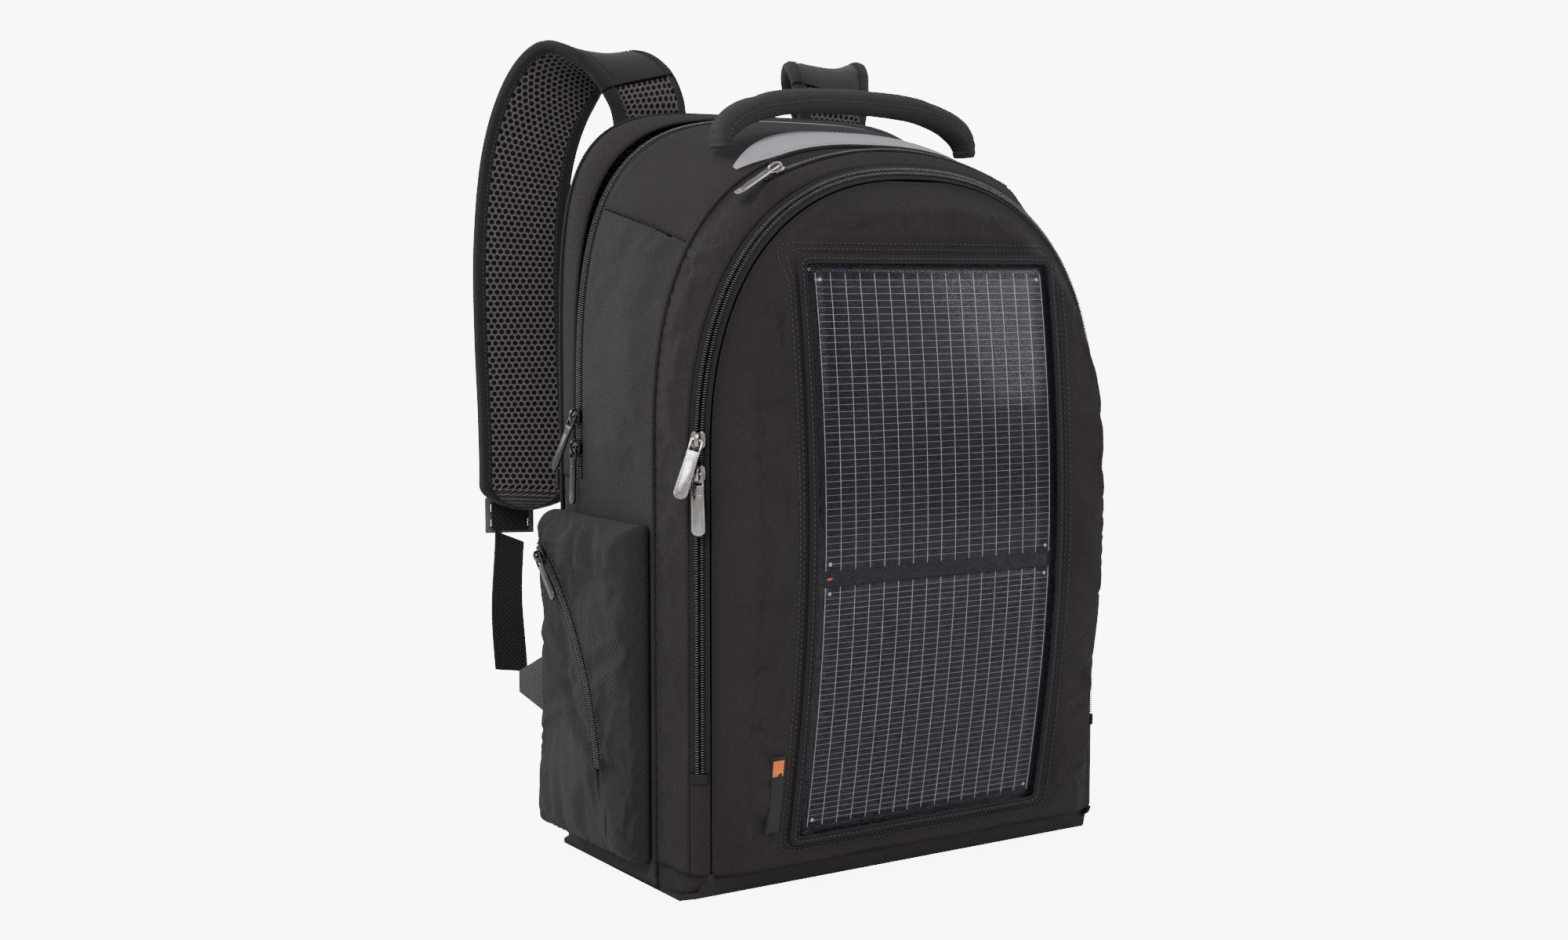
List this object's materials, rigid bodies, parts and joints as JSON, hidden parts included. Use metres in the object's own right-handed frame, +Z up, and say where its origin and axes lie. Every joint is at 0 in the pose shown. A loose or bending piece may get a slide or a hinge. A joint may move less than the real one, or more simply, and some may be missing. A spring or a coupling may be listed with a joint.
{
  "type": "solar backpack",
  "caption": "Day pack with a solar window on a zipped front cover, side pockets, a padded rear flap with shoulder straps and a top handle",
  "frame": {"origin": "centre of the flat base, midway between the seam under the front pocket and the back panel", "axes": "+Z up, -Y toward the solar window, +Y toward the shoulder straps, +X to the right of someone facing the window"},
  "size_m": [0.391, 0.3312, 0.5443],
  "materials": {
    "bag_fabric": "matte",
    "side_fabric": "matte",
    "grey_fabric": "matte",
    "handle_fabric": "matte",
    "padded_mesh": "matte",
    "webbing": "matte",
    "zip_coil": "satin",
    "nickel": "satin",
    "gunmetal": "satin",
    "black_plastic": "satin",
    "circuit_board": "satin",
    "socket_steel": "satin",
    "clear_film": "gloss",
    "solar_cell": "gloss",
    "label_fabric": "matte"
  },
  "bodies": {
    "pack_body": {"base_panel": "bag_fabric", "side_panel_left": "side_fabric", "side_panel_right": "side_fabric", "top_gusset": "bag_fabric", "top_panel": "grey_fabric", "divider_panel": "bag_fabric", "front_gusset": "bag_fabric", "corner_dart_left": "bag_fabric", "corner_dart_right": "bag_fabric", "lower_back_panel": "padded_mesh", "laptop_sleeve": "side_fabric", "pocket_front_left": "side_fabric", "pocket_front_right": "side_fabric", "wing_left": "side_fabric", "wing_right": "side_fabric", "webbing_left": "webbing", "webbing_right": "webbing", "main_zip_front": "zip_coil", "front_zip_outer": "zip_coil", "top_pocket_zip": "zip_coil"},
    "front_cover": {"cover_panel": "bag_fabric", "front_zip_inner": "zip_coil", "window_binding": "webbing", "window_film": "clear_film", "solar_module_upper": "solar_cell", "solar_module_lower": "solar_cell", "label_tab": "label_fabric", "controller_tray": "black_plastic", "controller_board": "circuit_board", "usb_socket": "socket_steel", "controller_lid": "black_plastic"},
    "rear_flap": {"back_panel": "padded_mesh", "rear_gusset": "bag_fabric", "main_zip_rear": "zip_coil", "strap_yoke": "bag_fabric", "strap_left": "padded_mesh", "strap_right": "padded_mesh", "strap_tab_left": "webbing", "strap_tab_right": "webbing"},
    "pocket_flap_left": {"pocket_flap_left": "side_fabric", "pocket_zip_left": "zip_coil"},
    "pocket_flap_right": {"pocket_flap_right": "side_fabric", "pocket_zip_right": "zip_coil"},
    "top_handle": {"top_handle": "handle_fabric"},
    "ladder_lock_left": {"ladder_lock_left": "black_plastic"},
    "ladder_lock_right": {"ladder_lock_right": "black_plastic"},
    "front_upper_slider": {"front_upper_slider": "nickel"},
    "front_upper_pull": {"front_upper_pull": "nickel"},
    "front_lower_slider": {"front_lower_slider": "nickel"},
    "front_lower_pull": {"front_lower_pull": "nickel"},
    "main_upper_slider": {"main_upper_slider": "gunmetal"},
    "main_upper_pull": {"main_upper_pull": "gunmetal"},
    "main_lower_slider": {"main_lower_slider": "gunmetal"},
    "main_lower_pull": {"main_lower_pull": "gunmetal"},
    "top_slider": {"top_slider": "nickel"},
    "top_pull": {"top_pull": "nickel"},
    "pocket_left_slider": {"pocket_left_slider": "gunmetal"},
    "pocket_left_pull": {"pocket_left_pull": "gunmetal"},
    "pocket_right_slider": {"pocket_right_slider": "gunmetal"},
    "pocket_right_pull": {"pocket_right_pull": "gunmetal"}
  },
  "joints": [
    {"name": "front_cover_hinge", "type": "hinge", "parent": "pack_body", "child": "front_cover", "pos_m": [0, -0.108, 0.02], "axis": [1, 0, 0], "range_deg": [0, 50]},
    {"name": "rear_flap_hinge", "type": "hinge", "parent": "pack_body", "child": "rear_flap", "pos_m": [0, 0.08, 0.2505], "axis": [-1, 0, 0], "range_deg": [0, 30], "deforming": ["webbing_left", "webbing_right"]},
    {"name": "top_handle_hinge", "type": "hinge", "parent": "pack_body", "child": "top_handle", "pos_m": [0, -0.032, 0.46084], "axis": [1, 0, 0], "range_deg": [-25, 25], "stiffness_Nm_per_rad": 0.2},
    {"name": "pocket_flap_left_hinge", "type": "hinge", "parent": "pack_body", "child": "pocket_flap_left", "pos_m": [-0.1633, 0, 0.018], "axis": [0, -1, 0], "range_deg": [0, 18]},
    {"name": "pocket_flap_right_hinge", "type": "hinge", "parent": "pack_body", "child": "pocket_flap_right", "pos_m": [0.1633, 0, 0.018], "axis": [0, 1, 0], "range_deg": [0, 18]},
    {"name": "ladder_lock_left_hinge", "type": "hinge", "parent": "rear_flap", "child": "ladder_lock_left", "pos_m": [-0.1495, 0.1665, 0.2245], "axis": [0.9272, -0.3746, 0], "range_deg": [0, 35]},
    {"name": "ladder_lock_right_hinge", "type": "hinge", "parent": "rear_flap", "child": "ladder_lock_right", "pos_m": [0.1495, 0.1665, 0.2245], "axis": [0.9272, 0.3746, 0], "range_deg": [0, 35]},
    {"name": "front_upper_slide", "type": "hinge", "parent": "front_cover", "child": "front_upper_slider", "pos_m": [0.12818, -0.102, 0.27656], "axis": [0, 1, 0], "range_deg": [0, 5]},
    {"name": "front_upper_pull_hinge", "type": "hinge", "parent": "front_upper_slider", "child": "front_upper_pull", "pos_m": [-0.15905, -0.10423, 0.28406], "axis": [-0.6829, 0.689, 0.2428], "range_deg": [0, 140]},
    {"name": "front_lower_slide", "type": "slide", "parent": "front_cover", "child": "front_lower_slider", "axis": [0, 0, -1], "range_m": [0, 0.15]},
    {"name": "front_lower_pull_hinge", "type": "hinge", "parent": "front_lower_slider", "child": "front_lower_pull", "pos_m": [-0.15923, -0.10423, 0.264], "axis": [-0.7067, 0.7067, -0.0349], "range_deg": [0, 30]},
    {"name": "main_upper_slide", "type": "slide", "parent": "pack_body", "child": "main_upper_slider", "axis": [0, 0, 1], "range_m": [0, 0.045]},
    {"name": "main_upper_pull_hinge", "type": "hinge", "parent": "main_upper_slider", "child": "main_upper_pull", "pos_m": [-0.16615, 0.038, 0.291], "axis": [0, 0.9848, 0.1736], "range_deg": [0, 140]},
    {"name": "main_lower_slide", "type": "slide", "parent": "pack_body", "child": "main_lower_slider", "axis": [0, 0, -1], "range_m": [0, 0.005]},
    {"name": "main_lower_pull_hinge", "type": "hinge", "parent": "main_lower_slider", "child": "main_lower_pull", "pos_m": [-0.16615, 0.038, 0.271], "axis": [0, 0.9976, -0.0698], "range_deg": [0, 25]},
    {"name": "top_slide", "type": "hinge", "parent": "pack_body", "child": "top_slider", "pos_m": [0, -0.079, 0.2364], "axis": [0, 1, 0], "range_deg": [0, 44]},
    {"name": "top_pull_hinge", "type": "hinge", "parent": "top_slider", "child": "top_pull", "pos_m": [-0.08757, -0.079, 0.44782], "axis": [-0.1604, 0.9848, -0.0664], "range_deg": [0, 140]},
    {"name": "pocket_left_slide", "type": "hinge", "parent": "pocket_flap_left", "child": "pocket_left_slider", "pos_m": [-0.1884, 0.163, 0.051], "axis": [1, 0, 0], "range_deg": [0, 39]},
    {"name": "pocket_left_pull_hinge", "type": "hinge", "parent": "pocket_left_slider", "child": "pocket_left_pull", "pos_m": [-0.19155, 0.04024, 0.20122], "axis": [0, 0.6296, -0.7769], "range_deg": [0, 140]},
    {"name": "pocket_right_slide", "type": "hinge", "parent": "pocket_flap_right", "child": "pocket_right_slider", "pos_m": [0.1884, 0.163, 0.051], "axis": [1, 0, 0], "range_deg": [0, 39]},
    {"name": "pocket_right_pull_hinge", "type": "hinge", "parent": "pocket_right_slider", "child": "pocket_right_pull", "pos_m": [0.19155, 0.04024, 0.20122], "axis": [0, -0.6296, 0.7769], "range_deg": [0, 140]}
  ]
}
